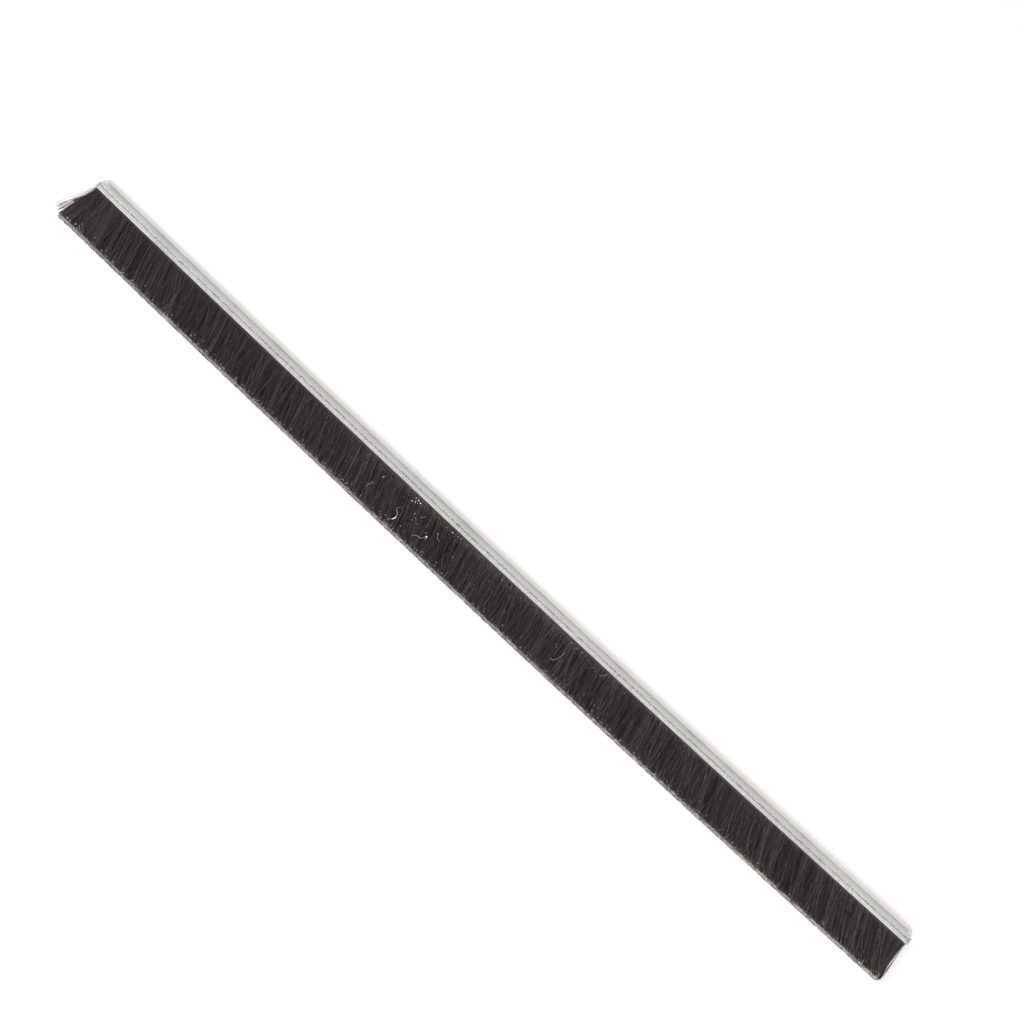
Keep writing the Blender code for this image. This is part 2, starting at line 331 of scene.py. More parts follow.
def finish_cad_node(name, material):
    """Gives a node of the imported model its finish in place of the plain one."""
    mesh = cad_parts[name].data
    mesh.materials.clear()
    mesh.materials.append(material)


finish_cad_node("channel_profile", mill_aluminium())

# Core wire
# The drawn steel wire that the filaments are folded round. Only its two cut ends show, inside the channel. It
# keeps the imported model's mesh too.
WIRE_STEEL = "B4B2AE"
WIRE_LINE_MM = 0.2
WIRE_ROUGHNESS = (0.22, 0.42)


def bright_steel_wire():
    """Bright drawn steel: fine lines along the wire break up its highlight."""
    material, tree, shader = new_material("bright_steel_wire")
    place = add_node(tree, "ShaderNodeTexCoord").outputs["Object"]
    lines = noise(tree, place, 1000 / WIRE_LINE_MM, 2.0)
    tree.links.new(ranged(tree, lines, *NOISE_RANGE, *WIRE_ROUGHNESS), shader.inputs["Roughness"])
    shader.inputs["Base Color"].default_value = linear(WIRE_STEEL)
    shader.inputs["Metallic"].default_value = 1.0
    return material


finish_cad_node("core_wire", bright_steel_wire())

# Filaments on the pack's faces
# Black nylon filaments, folded round the core wire and fanned out between the jaws, in tufts that lean along
# the strip, with looser ones crossing on top. Thousands of real ones, 0.2 to 0.3 mm thick, would be too fine
# to show, so those of the pack are drawn 0.32 to 0.54 mm thick, and fewer.
PACK_LOW, PACK_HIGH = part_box("bristle_pack")
FREE_LENGTH = MOUTH_Y - PACK_LOW.y - SWEEP
TIP_THICKNESS = PACK_HIGH.z
END_INSET = 0.0020
START_EDGE = -STRIP_LENGTH / 2 + END_INSET
END_EDGE = STRIP_LENGTH / 2 - END_INSET
START_SPLAY = math.radians(-5.2)
END_SPLAY = math.radians(-3.2)
NECK_LOW = 0.00165
NECK_HIGH = 0.00395
ROOT_DEPTH = 0.0008
# The lean towards +X at places along the strip, from its middle.
LEAN_PLACES = (-0.498, -0.488, -0.470, -0.440, -0.350, -0.275, -0.095, 0.0, 0.085, 0.175, 0.265, 0.414, 0.472)
LEAN_DEGREES = (-5.2, 2.0, 14.0, 20.0, 18.5, 16.0, 17.0, 12.0, 9.0, 8.0, 12.5, 15.0, 19.0)
# Filaments gather towards the middle of their tuft, bunch where they would pass the fanned ends, end a little
# short of the full length, some tufts more so, and curl less by the two ends.
BUNCHING = 0.15
GATHERING = 0.35
TRIM_SPREAD = (0.0001, 0.0006)
SHORT_SPREAD = (0.0005, 0.0065)
CALM_AT_ENDS = 0.015
CROSSING_LEAN = math.tan(math.radians(16.0))
NYLON_BLACK = "160C0E"
# Each filament's tone mixes in this paler colour: partly worn nylon, partly painted sheen.
NYLON_WORN_AND_SHEEN = "786F73"
NYLON_DUST = "8A8078"
NYLON_CUT = "C5B4AC"
NYLON_CUT_STALE = "ABA59B"
NYLON_ROUGHNESS = 0.55
NYLON_IOR = 1.53
NYLON_SHINE = 0.3
CUT_LENGTH = 0.0006
CUT_PATCH_MM = 14.0
CUT_PATCH_RANGE = (0.40, 0.60)
# The dust: the size of its patches, then where it lies, from the strip's middle and from the mouth.
DUST_MM = 2.2
DUST_PATCH_RANGE = (0.42, 0.68)
DUST_PATCH_SHARE = (0.15, 1.0)
DUST_FROM_MIDDLE = (0.06, 0.20)
DUST_SHARE = (0.50, 0.10)
DUST_FROM_MOUTH = (-0.010, -0.001)
LIP_DUST_FROM_MOUTH = (-0.0022, -0.0005)
LIP_DUST_SHARE = 0.32


def bow(x):
    """How far the strip has bowed towards its tips at x along it, from its middle."""
    return -SWEEP * (1 - (2 * x / STRIP_LENGTH) ** 2)


def in_frame(x, y, z):
    """Points measured from the channel's mouth, as an array in the frame."""
    return np.stack([x + MOUTH_X, y + bow(x) + MOUTH_Y, z], axis=1)


def black_nylon(name, unworn):
    """Extruded black nylon: satin filaments, some paler, worn and with painted sheen, with paler cut ends.

    Fine dust has settled against the channel's lip, and in patches by it, mostly along the strip's middle.
    """
    material, tree, shader = new_material(name)
    tone, paleness, from_tip = (
        add_node(tree, "ShaderNodeAttribute", {"attribute_name": label}).outputs["Fac"]
        for label in ("tone", "paleness", "from_tip")
    )
    place = add_node(tree, "ShaderNodeTexCoord").outputs["Object"]
    # Paler with tone: partly worn, partly painted sheen.
    body = mixed(tree, tone, linear(unworn), linear(NYLON_WORN_AND_SHEEN))
    stale = ranged(tree, noise(tree, place, 1000 / CUT_PATCH_MM, 2.0), *CUT_PATCH_RANGE, 0.0, 1.0)
    cut_end = mixed(tree, stale, linear(NYLON_CUT), linear(NYLON_CUT_STALE))
    cut = ranged(tree, from_tip, CUT_LENGTH, 0.0, 0.0, paleness)
    colour = mixed(tree, cut, body, cut_end)

    along, across = from_mouth(tree, place)[:2]
    by_middle = ranged(tree, maths(tree, "ABSOLUTE", along), *DUST_FROM_MIDDLE, *DUST_SHARE)
    by_channel = ranged(tree, across, *DUST_FROM_MOUTH, 0.0, by_middle)
    patchy = ranged(tree, noise(tree, place, 1000 / DUST_MM, 2.0), *DUST_PATCH_RANGE, *DUST_PATCH_SHARE)
    in_patches = maths(tree, "MULTIPLY", by_channel, patchy)
    by_lip = ranged(tree, across, *LIP_DUST_FROM_MOUTH, 0.0, LIP_DUST_SHARE)
    dusty = mixed(tree, maths(tree, "MAXIMUM", in_patches, by_lip), colour, linear(NYLON_DUST))

    tree.links.new(dusty, shader.inputs["Base Color"])
    shader.inputs["Roughness"].default_value = NYLON_ROUGHNESS
    shader.inputs["IOR"].default_value = NYLON_IOR
    shader.inputs["Specular IOR Level"].default_value = NYLON_SHINE
    return material


def named_vector(tree, name):
    """A vector that is stored with each root point."""
    settings = {"data_type": "FLOAT_VECTOR"}
    return add_node(tree, "GeometryNodeInputNamedAttribute", settings, {"Name": name}).outputs[0]


def filament_tree():
    """Sweeps one bent filament from each root point, towards that point's reach."""
    tree = bpy.data.node_groups.new("filaments", "GeometryNodeTree")
    inputs = (
        ("Roots", "NodeSocketGeometry"),
        ("Thickness", "NodeSocketFloat"),
        ("Sides", "NodeSocketInt"),
        ("Points", "NodeSocketInt"),
        ("Finish", "NodeSocketMaterial"),
    )
    for name, kind in inputs:
        tree.interface.new_socket(name=name, in_out="INPUT", socket_type=kind)
    tree.interface.new_socket(name="Filaments", in_out="OUTPUT", socket_type="NodeSocketGeometry")
    given = add_node(tree, "NodeGroupInput").outputs

    # A straight curve of unit length is placed on each root, turned along its reach and scaled to its length.
    reach = named_vector(tree, "reach")
    length = add_node(tree, "ShaderNodeVectorMath", {"operation": "LENGTH"}, {0: reach}).outputs["Value"]
    aim = add_node(tree, "FunctionNodeAlignRotationToVector", {"axis": "Z"}, {"Vector": reach}).outputs[0]
    line = add_node(tree, "GeometryNodeCurvePrimitiveLine", links={"End": (0.0, 0.0, 1.0)}).outputs[0]
    stations = {"Curve": line, "Count": given["Points"]}
    spine = add_node(tree, "GeometryNodeResampleCurve", links=stations).outputs[0]
    on_roots = {"Points": given["Roots"], "Instance": spine, "Rotation": aim, "Scale": length}
    placed = add_node(tree, "GeometryNodeInstanceOnPoints", links=on_roots).outputs[0]
    single = add_node(tree, "GeometryNodeRealizeInstances", links={"Geometry": placed}).outputs[0]

    # Each point of it is marked with its distance from the tip, for the pale cut ends, and moved by the bend.
    along = add_node(tree, "GeometryNodeSplineParameter").outputs["Factor"]
    rest = maths(tree, "SUBTRACT", 1.0, along)
    whole_length = add_node(tree, "GeometryNodeSplineLength").outputs["Length"]
    mark = {"Geometry": single, "Name": "from_tip", "Value": maths(tree, "MULTIPLY", rest, whole_length)}
    per_point = {"data_type": "FLOAT", "domain": "POINT"}
    marked = add_node(tree, "GeometryNodeStoreNamedAttribute", per_point, mark).outputs[0]
    arch = {0: named_vector(tree, "bend"), "Scale": maths(tree, "MULTIPLY", along, rest)}
    sag = add_node(tree, "ShaderNodeVectorMath", {"operation": "SCALE"}, arch).outputs[0]
    bent = add_node(tree, "GeometryNodeSetPosition", links={"Geometry": marked, "Offset": sag}).outputs[0]

    size = {"Resolution": given["Sides"], "Radius": given["Thickness"]}
    round_section = add_node(tree, "GeometryNodeCurvePrimitiveCircle", links=size).outputs[0]
    sweep = {"Curve": bent, "Profile Curve": round_section, "Fill Caps": True}
    swept = add_node(tree, "GeometryNodeCurveToMesh", links=sweep).outputs[0]
    whole = add_node(tree, "GeometryNodeRealizeInstances", links={"Geometry": swept}).outputs[0]
    finish = {"Geometry": whole, "Material": given["Finish"]}
    finished = add_node(tree, "GeometryNodeSetMaterial", links=finish).outputs[0]
    add_node(tree, "NodeGroupOutput", links={"Filaments": finished})
    return tree


FILAMENT_TREE = filament_tree()
BLACK_NYLON = black_nylon("black_nylon", NYLON_BLACK)


def add_filaments(name, roots, tips, bend, tone, paleness, diameter, sides, points, finish=BLACK_NYLON):
    """Makes a piece of filaments: each runs from its root to its tip, bent by up to a quarter of its bend.

    tone is how worn each one is, with painted sheen, and paleness how pale its cut end is.
    """
    mesh = bpy.data.meshes.new(name + "_roots")
    mesh.from_pydata(roots.tolist(), [], [])
    for label, kind, values in (
        ("reach", "FLOAT_VECTOR", tips - roots),
        ("bend", "FLOAT_VECTOR", bend),
        ("tone", "FLOAT", tone),
        ("paleness", "FLOAT", paleness),
    ):
        attribute = mesh.attributes.new(label, kind, "POINT")
        attribute.data.foreach_set("vector" if kind == "FLOAT_VECTOR" else "value", np.ravel(values))
    seeds = bpy.data.objects.new(name + "_roots", mesh)
    bpy.context.scene.collection.objects.link(seeds)
    modifier = seeds.modifiers.new("filaments", "NODES")
    modifier.node_group = FILAMENT_TREE
    values = {"Thickness": diameter / 2, "Sides": sides, "Points": points, "Finish": finish}
    for item in FILAMENT_TREE.interface.items_tree:
        if item.in_out == "INPUT" and item.name in values:
            modifier[item.identifier] = values[item.name]
    bpy.context.view_layer.update()
    evaluated = seeds.evaluated_get(bpy.context.evaluated_depsgraph_get())
    plain = bpy.data.meshes.new_from_object(evaluated)
    bpy.data.objects.remove(seeds, do_unlink=True)
    plain.name = name
    piece = bpy.data.objects.new(name, plain)
    bpy.context.scene.collection.objects.link(piece)
    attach(piece, "root")
    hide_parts("bristle_pack")


def lean(x):
    """How far the bristles at x lean towards +X, as the slope of their run."""
    return np.tan(np.radians(np.interp(x, LEAN_PLACES, LEAN_DEGREES)))


def lean_of_crossing(x):
    """The loose filaments on top lean towards +X from the very start of the strip."""
    return np.maximum(lean(x), CROSSING_LEAN * np.clip((0.1 - x) / 0.5, 0.0, 1.0))


def kept_within(tip_x, run):
    """Tips that would pass the pack's fanned ends are turned back in, where they bunch at the edge."""
    low = START_EDGE + math.tan(START_SPLAY) * run
    high = END_EDGE + math.tan(END_SPLAY) * run
    tip_x = np.where(tip_x < low, low + BUNCHING * (low - tip_x), tip_x)
    return np.where(tip_x > high, high - BUNCHING * (tip_x - high), tip_x)


def surface_filaments(
    name,
    seed,
    count,
    side,
    tuft_width,
    depth,
    crossing,
    curl,
    tones,
    diameter,
    points,
    lean_at=lean,
    short_share=0.1,
    swell=(0.0002, 0.0010),
):
    """Filaments on the upper (side 1) or lower (side -1) face of the pack, in tufts.

    tuft_width is a tuft's least and greatest width, depth the share of the pack's half thickness that they
    lie in, crossing how far their slopes stray, curl their sideways bend, tones their least and greatest
    share of the paler colour, for being worn and for painted sheen, short_share the share that ends up to
    7 mm short of the trimmed face, and swell their bend away from the pack's middle.
    """
    rng = np.random.default_rng(seed)
    narrow, wide = tuft_width
    x = np.linspace(START_EDGE + diameter, END_EDGE - diameter, count)
    edges = START_EDGE + np.cumsum(rng.uniform(narrow, wide, int(1.2 / narrow)))
    tuft = np.searchsorted(edges, x)
    tufts = tuft.max() + 1
    middle = (edges - (narrow + wide) / 4)[tuft]
    tuft_lean = rng.normal(0, 1, tufts)[tuft]
    tuft_curl = rng.normal(0, 1, tufts)[tuft]
    tuft_depth = rng.uniform(0, 1, tufts)[tuft]
    tuft_tone = rng.uniform(0, 1, tufts)[tuft]
    slope = lean_at(x) + crossing * (0.85 * tuft_lean + 0.35 * rng.normal(0, 1, count))
    below = depth * (0.6 * tuft_depth + 0.4 * rng.uniform(0, 1, count))
    cut = rng.uniform(*TRIM_SPREAD, count)
    cut += np.where(rng.uniform(0, 1, tufts) < short_share, rng.uniform(*SHORT_SPREAD, tufts), 0.0)[tuft]
    run = FREE_LENGTH - cut
    root_mid = (NECK_LOW + NECK_HIGH) / 2
    root_half = (NECK_HIGH - NECK_LOW) / 2 - diameter / 2
    tip_half = TIP_THICKNESS / 2 - diameter / 2 - 0.0001
    grown = run / FREE_LENGTH
    half = root_half + (tip_half - root_half) * grown
    middle_z = root_mid + (TIP_THICKNESS / 2 - root_mid) * grown
    gathered = GATHERING * (middle - x)
    tip_x = kept_within(x + gathered + slope * run, run)
    roots = in_frame(x, np.full(count, ROOT_DEPTH), root_mid + side * root_half * (1 - 0.5 * below))
    tips = in_frame(tip_x, -run, middle_z + side * half * (1 - below))
    outwards = side * rng.uniform(*swell, count)
    room = np.clip((END_EDGE - np.abs(x)) / CALM_AT_ENDS, 0.0, 1.0)
    sideways = room * curl * (0.8 * tuft_curl + 0.3 * rng.normal(0, 1, count))
    bend = np.stack([sideways, np.zeros(count), outwards], axis=1)
    # How much of the paler colour each filament takes: partly being worn, partly painted sheen.
    wear_and_sheen = (0.45 * tuft_tone + 0.55 * rng.uniform(0, 1, count)) ** 3
    tone = tones[0] + (tones[1] - tones[0]) * wear_and_sheen
    add_filaments(name, roots, tips, bend, tone, 0.5 * tone, diameter, 3, points)


surface_filaments(
    "filaments_top",
    seed=11,
    count=6800,
    side=1,
    tuft_width=(0.00034, 0.0009),
    depth=0.32,
    crossing=0.10,
    curl=0.005,
    tones=(0.0, 0.50),
    diameter=0.00034,
    points=5,
)
surface_filaments(
    "filaments_top_crossing",
    seed=12,
    count=3600,
    side=1,
    tuft_width=(0.00025, 0.0007),
    depth=0.04,
    crossing=0.13,
    curl=0.010,
    tones=(0.0, 1.0),
    diameter=0.00036,
    points=8,
    lean_at=lean_of_crossing,
    short_share=0.3,
)
surface_filaments(
    "filaments_underside",
    seed=13,
    count=5200,
    side=-1,
    tuft_width=(0.0006, 0.0020),
    depth=0.30,
    crossing=0.08,
    curl=0.006,
    tones=(0.0, 0.3),
    diameter=0.00036,
    points=6,
    swell=(0.0019, 0.0024),
)

# Filament mass
# The nylon filaments deep in the pack, under the ones that show. They stand in their neighbours' shade, so
# one dark body is drawn for them: the pack's solid, drawn in all round and most of all below.
NYLON_SHADE = "0E0A0A"
# Noise cells to the metre: the strands are 0.7 mm wide, coarser than real ones, so that they show.
STRAND_SCALE = (1500.0, 60.0, 1500.0)
STRAND_DEPTH = 0.0005
MASS_ROUGHNESS = 0.9
MASS_SHINE = 0.15
MASS_DRAWN_IN = 0.0009
MASS_TIP_DRAWN_IN = 0.0016
# The least height of its lower side at runs from the mouth, from where the pack leaves the jaws.
MASS_FREE_FROM = 0.0005
MASS_LOWER_RUNS = (0.0, 0.003, 0.018)
MASS_LOWER_HEIGHTS = (0.0024, 0.0022, 0.0015)


def packed_nylon():
    """Black nylon filaments in deep shade: nearly black, with no shine and only a hint of the strands."""
    material, tree, shader = new_material("packed_nylon")
    place = add_node(tree, "ShaderNodeTexCoord").outputs["Object"]
    stretched = add_node(tree, "ShaderNodeMapping", links={"Vector": place, "Scale": STRAND_SCALE}).outputs[0]
    strands = noise(tree, stretched, 1.0, 2.0)
    relief = {"Strength": 1.0, "Distance": STRAND_DEPTH, "Height": strands}
    bump = add_node(tree, "ShaderNodeBump", links=relief).outputs[0]
    colour = mixed(tree, strands, linear(NYLON_SHADE), linear(NYLON_BLACK))
    tree.links.new(colour, shader.inputs["Base Color"])
    tree.links.new(bump, shader.inputs["Normal"])
    shader.inputs["Roughness"].default_value = MASS_ROUGHNESS
    shader.inputs["Specular IOR Level"].default_value = MASS_SHINE
    return material


def filament_mass():
    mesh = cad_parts["bristle_pack"].data.copy()
    mesh.name = "filament_mass"
    body = bmesh.new()
    body.from_mesh(mesh)
    bmesh.ops.remove_doubles(body, verts=body.verts, dist=0.00001)
    bmesh.ops.recalc_face_normals(body, faces=body.faces)
    body.normal_update()
    places = [vertex.co - vertex.normal * MASS_DRAWN_IN for vertex in body.verts]
    for vertex, place in zip(body.verts, places):
        run = MOUTH_Y + bow(place.x - MOUTH_X) - place.y
        place.y += max(0.0, run - (FREE_LENGTH - MASS_TIP_DRAWN_IN))
        if run > MASS_FREE_FROM:
            place.z = max(place.z, np.interp(run, MASS_LOWER_RUNS, MASS_LOWER_HEIGHTS))
        vertex.co = place
    body.to_mesh(mesh)
    body.free()
    mesh.materials.clear()
    mesh.materials.append(packed_nylon())
    piece = bpy.data.objects.new("filament_mass", mesh)
    bpy.context.scene.collection.objects.link(piece)
    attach(piece, "root")
    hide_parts("bristle_pack")


filament_mass()

# Trimmed face
# The last few millimetres of the filaments, all cut off in one ragged plane, tuft by tuft, so that their
# pale cut ends face the front. They are drawn 0.48 mm thick and 0.6 mm apart, twice what is real, so that
# the face shows.
TIP_PITCH = 0.00060
TIP_STUB = 0.0028
TIP_DIAMETER = 0.00048
TIP_TUFTS = 700
TIP_TUFT_WIDTH = 0.0017
TIP_LAYERS = 4
TIP_LAYER_HEIGHT = 0.0022
TIP_BUNCHES = 130
# How far tufts and whole stretches are cut short at most, and how far tufts stand proud at most.
TIP_RAGGED = 0.0010
TIP_WAVY = 0.0004
TIP_PROUD = 0.0004
TIP_NARROWING = 0.055
TIP_SHADED_DEPTH = 0.0030
TIP_SHADED_SHARE = 0.28


def trimmed_face():
    rng = np.random.default_rng(21)
    start = START_EDGE + math.tan(START_SPLAY) * FREE_LENGTH
    end = END_EDGE + math.tan(END_SPLAY) * FREE_LENGTH
    columns = int((end - start) / TIP_PITCH)
    rows = int(TIP_THICKNESS / (TIP_PITCH * 0.9))
    column, row = (part.ravel() for part in np.meshgrid(np.arange(columns), np.arange(rows)))
    count = column.size
    x = start + (column + 0.5 + 0.5 * (row % 2)) * TIP_PITCH + rng.normal(0, 0.00012, count)
    z = 0.0003 + (row + 0.5) * (TIP_THICKNESS - 0.0006) / rows + rng.normal(0, 0.00008, count)
    x = np.clip(x, start + 0.0002, end - 0.0002)
    z = np.clip(z, 0.00025, TIP_THICKNESS - 0.00025)
    across = (x - start + rng.normal(0, 0.0003, count)) / TIP_TUFT_WIDTH
    level = (z + rng.normal(0, 0.0003, count)) / TIP_LAYER_HEIGHT
    layer = level.clip(0, TIP_LAYERS - 0.01).astype(int)
    tuft = (across + 0.37 * layer).astype(int).clip(0, TIP_TUFTS - 1)

    # Some tufts and some stretches were cut short, and towards the two ends some stand proud.
    bunches = np.linspace(start, end, TIP_BUNCHES)
    ragged = (TIP_RAGGED * rng.uniform(0, 1, (TIP_TUFTS, TIP_LAYERS)) ** 2.5)[tuft, layer]
    ragged += np.interp(x, bunches, TIP_WAVY * rng.uniform(0, 1, TIP_BUNCHES) ** 2)
    proud = np.minimum(TIP_PROUD, 0.8 * SWEEP * (2 * x / STRIP_LENGTH) ** 2)
    long = rng.uniform(0, 1, (TIP_TUFTS, TIP_LAYERS))[tuft, layer] * proud
    tip_y = -FREE_LENGTH + 0.00009 + ragged - long + rng.exponential(0.00008, count)
    narrowing = (z - TIP_THICKNESS / 2) * TIP_NARROWING
    roots = in_frame(x - lean(x) * TIP_STUB, tip_y + TIP_STUB, z - narrowing)
    tips = in_frame(x, tip_y, z)

    # The cut ends are paler towards the strip's end, and shaded along the top, more so past the first fifth.
    fresh = np.interp(x, bunches, rng.uniform(0.75, 1.1, TIP_BUNCHES))
    fresh *= np.interp(x, (-0.4, 0.1, 0.4), (0.85, 1.08, 1.5))
    tuft_paleness = rng.uniform(0.45, 1.0, (TIP_TUFTS, TIP_LAYERS))[tuft, layer]
    paleness = fresh * tuft_paleness * rng.uniform(0.5, 1.3, count)
    lit_height = TIP_THICKNESS - TIP_SHADED_DEPTH * rng.uniform(0, 1, TIP_TUFTS)[tuft] ** 2
    lit_height -= np.interp(x, (-0.30, -0.20), (0.0, 0.0009))
    paleness *= np.where(z > lit_height, TIP_SHADED_SHARE, 1.0)
    tone = 0.6 * rng.uniform(0, 1, count)
    straight = np.zeros((count, 3))
    add_filaments("filament_tips", roots, tips, straight, tone, paleness, TIP_DIAMETER, 3, 2)


trimmed_face()

# Filaments at the cut ends
# Where the strip was cut to length, the pack's whole thickness shows, from the table to its upper face.
# A few filaments there were cut short, and at the right some tips stray outwards.
CUT_END_COUNT = 620
CUT_END_DIAMETER = 0.00034
CUT_SHORT_SHARE = 0.12
CUT_SHORT_BY = (0.001, 0.010)
CUT_END_STRAY = 0.0007


def cut_end_filaments():
    rng = np.random.default_rng(31)
    count = CUT_END_COUNT
    side = np.where(np.arange(count) % 2 == 0, -1.0, 1.0)
    edge = np.where(side < 0, START_EDGE, END_EDGE)
    splay = np.where(side < 0, math.tan(START_SPLAY), math.tan(END_SPLAY))
    x = edge - side * rng.uniform(0.0001, 0.0007, count)
    share = rng.uniform(0.02, 0.98, count)
    run = FREE_LENGTH - rng.uniform(0.0001, 0.0012, count)
    run -= np.where(rng.uniform(0, 1, count) < CUT_SHORT_SHARE, rng.uniform(*CUT_SHORT_BY, count), 0.0)
    tip_x = x + splay * run - side * rng.exponential(0.0003, count)
    tip_x += np.where(side > 0, CUT_END_STRAY * rng.uniform(0, 1, count) ** 3, 0.0)
    tip_z = 0.0003 + share * (TIP_THICKNESS - 0.0006)
    root_z = NECK_LOW + 0.0002 + share * (NECK_HIGH - NECK_LOW - 0.0004)
    roots = in_frame(x, np.full(count, ROOT_DEPTH), root_z)
    tips = in_frame(tip_x, -run, root_z + (tip_z - root_z) * run / FREE_LENGTH)
    bend = np.stack([-side * rng.uniform(0, 0.0015, count), np.zeros(count), np.zeros(count)], axis=1)
    tone = 0.5 * rng.uniform(0, 1, count) ** 3
    paleness = rng.uniform(0.1, 1.2, count)
    add_filaments("filaments_cut_ends", roots, tips, bend, tone, paleness, CUT_END_DIAMETER, 3, 6)


cut_end_filaments()

# Fanned filaments at the start
# At the strip's start the lean turns over, so the top filaments draw apart. These lie just under them and
# fan out evenly from the jaws, as the filaments beneath do in the real pack.
FAN_COUNT = 560
FAN_WIDTH = 0.028
FAN_DIAMETER = 0.00034
FAN_CROSSING = 0.012


def fanned_start():
    rng = np.random.default_rng(35)
    count = FAN_COUNT
    x = START_EDGE + 0.0003 + np.linspace(0, FAN_WIDTH, count)
    run = FREE_LENGTH - rng.uniform(0.0002, 0.0009, count)
    tip_x = kept_within(x + (lean(x) + rng.normal(0, FAN_CROSSING, count)) * run, run)
    depth = rng.uniform(0, 1, count)
    roots = in_frame(x, np.full(count, ROOT_DEPTH), NECK_HIGH - 0.0003 - 0.0004 * depth)
    tips = in_frame(tip_x, -run, TIP_THICKNESS - 0.0004 - 0.0009 * depth)
    bend = np.stack([rng.normal(0, 0.002, count), np.zeros(count), np.full(count, 0.0006)], axis=1)
    tone = 0.1 + 0.6 * rng.uniform(0, 1, count) ** 3
    add_filaments("filaments_fanned_start", roots, tips, bend, tone, 0.5 * tone, FAN_DIAMETER, 3, 6)


fanned_start()

# Sprung filaments
# Filaments that have sprung out of line at the two cut ends, in wisps: thin strays that stand clear of the
# pack, and denser ones along its edge. Single ones on the white table let light through, and look brown.
NYLON_BACKLIT = "543A32"
STRAY_DIAMETER = 0.00026
SPRUNG_DIAMETER = 0.00032
# Each wisp: how far inside the pack's edge its roots start, from and to; its sideways bend; the place of its
# tips from the middle and from the mouth; their spread; and their number.
STRAYS_MM = (
    (0.5, 2.5, 5.0, -511.0, -40.7, 0.10, 1),
    (0.5, 2.5, 5.0, -510.0, -40.2, 0.30, 1),
    (0.5, 2.5, 5.0, -508.8, -40.2, 0.30, 4),
    (0.5, 2.5, 5.0, -506.8, -41.6, 0.50, 2),
    (0.5, 2.5, 5.0, -505.6, -42.7, 0.25, 2),
    (0.0, 0.3, 1.0, 498.7, -37.4, 0.12, 4),
)
SPRUNG_EDGE_MM = (
    (0.2, 2.0, 4.0, -503.2, -25.5, 0.40, 12),
    (0.2, 2.0, 4.0, -502.2, -23.5, 0.40, 18),
    (0.2, 1.5, 3.0, -500.8, -22.5, 0.40, 16),
    (0.2, 1.0, 2.0, -499.9, -17.0, 0.40, 10),
    (0.3, 1.0, -9.0, 498.4, -42.2, 0.25, 8),
    (0.3, 1.0, -9.0, 498.0, -44.0, 0.35, 10),
    (0.3, 1.0, -8.0, 497.3, -45.5, 0.40, 10),
    (0.3, 1.0, -6.0, 496.5, -46.5, 0.40, 9),
)
# The tips are kept from passing the imported model's box.
SPRUNG_TIP_X = (-0.5113, 0.4998)


def sprung_filaments(name, wisps_mm, thickness, seed, finish):
    rng = np.random.default_rng(seed)
    wisps = np.array([wisp[:6] for wisp in wisps_mm for _ in range(wisp[6])]) / 1000
    inside_from, inside_to, sideways, middle_x, middle_y, spread = wisps.T
    count = len(wisps)
    side = np.sign(middle_x)
    edge = np.where(side < 0, START_EDGE, END_EDGE)
    root_x = edge - side * (inside_from + (inside_to - inside_from) * rng.uniform(0, 1, count))
    root_z = rng.uniform(NECK_LOW + 0.0003, NECK_HIGH - 0.0003, count)
    tip_x = np.clip(middle_x + spread * rng.normal(0, 1, count), *SPRUNG_TIP_X)
    tip_y = middle_y + 2 * spread * rng.normal(0, 1, count)
    tip_z = rng.uniform(0.0012, 0.0062, count)
    roots = in_frame(root_x, np.full(count, ROOT_DEPTH), root_z)
    tips = in_frame(tip_x, np.maximum(tip_y, -FREE_LENGTH + 0.0002), tip_z)
    curl = sideways * rng.uniform(0.7, 1.1, count)
    bend = np.stack([curl, np.zeros(count), rng.normal(0, 0.0015, count)], axis=1)
    tone = 0.5 * rng.uniform(0, 1, count) ** 2
    paleness = rng.uniform(0.2, 1, count)
    add_filaments(name, roots, tips, bend, tone, paleness, thickness, 4, 9, finish=finish)


BACKLIT_NYLON = black_nylon("backlit_nylon", NYLON_BACKLIT)
sprung_filaments("filaments_stray", STRAYS_MM, STRAY_DIAMETER, 32, BACKLIT_NYLON)
sprung_filaments("filaments_sprung_edge", SPRUNG_EDGE_MM, SPRUNG_DIAMETER, 34, BLACK_NYLON)

# Stray bristles
# Seven more single nylon filaments that stand clear of the pack, where it was cut to length. They keep the
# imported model's meshes, so here they only get their finish.
for number in range(1, 8):
    finish_cad_node("stray_bristle_%d" % number, BACKLIT_NYLON)

# Short filaments
# Filaments that end just short of the trimmed face, in small tufts, so that their pale cut ends dot the upper
# face. They are drawn 0.54 mm thick, twice what is real, so that the dots show.
SHORT_TUFTS = 620
SHORT_TUFTS_AT_END = 16
SHORT_DIAMETER = 0.00054
SHORT_LENGTH = (0.003, 0.006)
SHORT_CROSSING = 0.12
PACK_TOP_RUNS = (0.0, 0.003, 0.046)
PACK_TOP_HEIGHTS = (NECK_HIGH, 0.00445, TIP_THICKNESS - 0.0001)


def pack_top(run):
    """Height of the pack's upper face at a run from the channel's mouth."""
    return np.interp(run, PACK_TOP_RUNS, PACK_TOP_HEIGHTS)


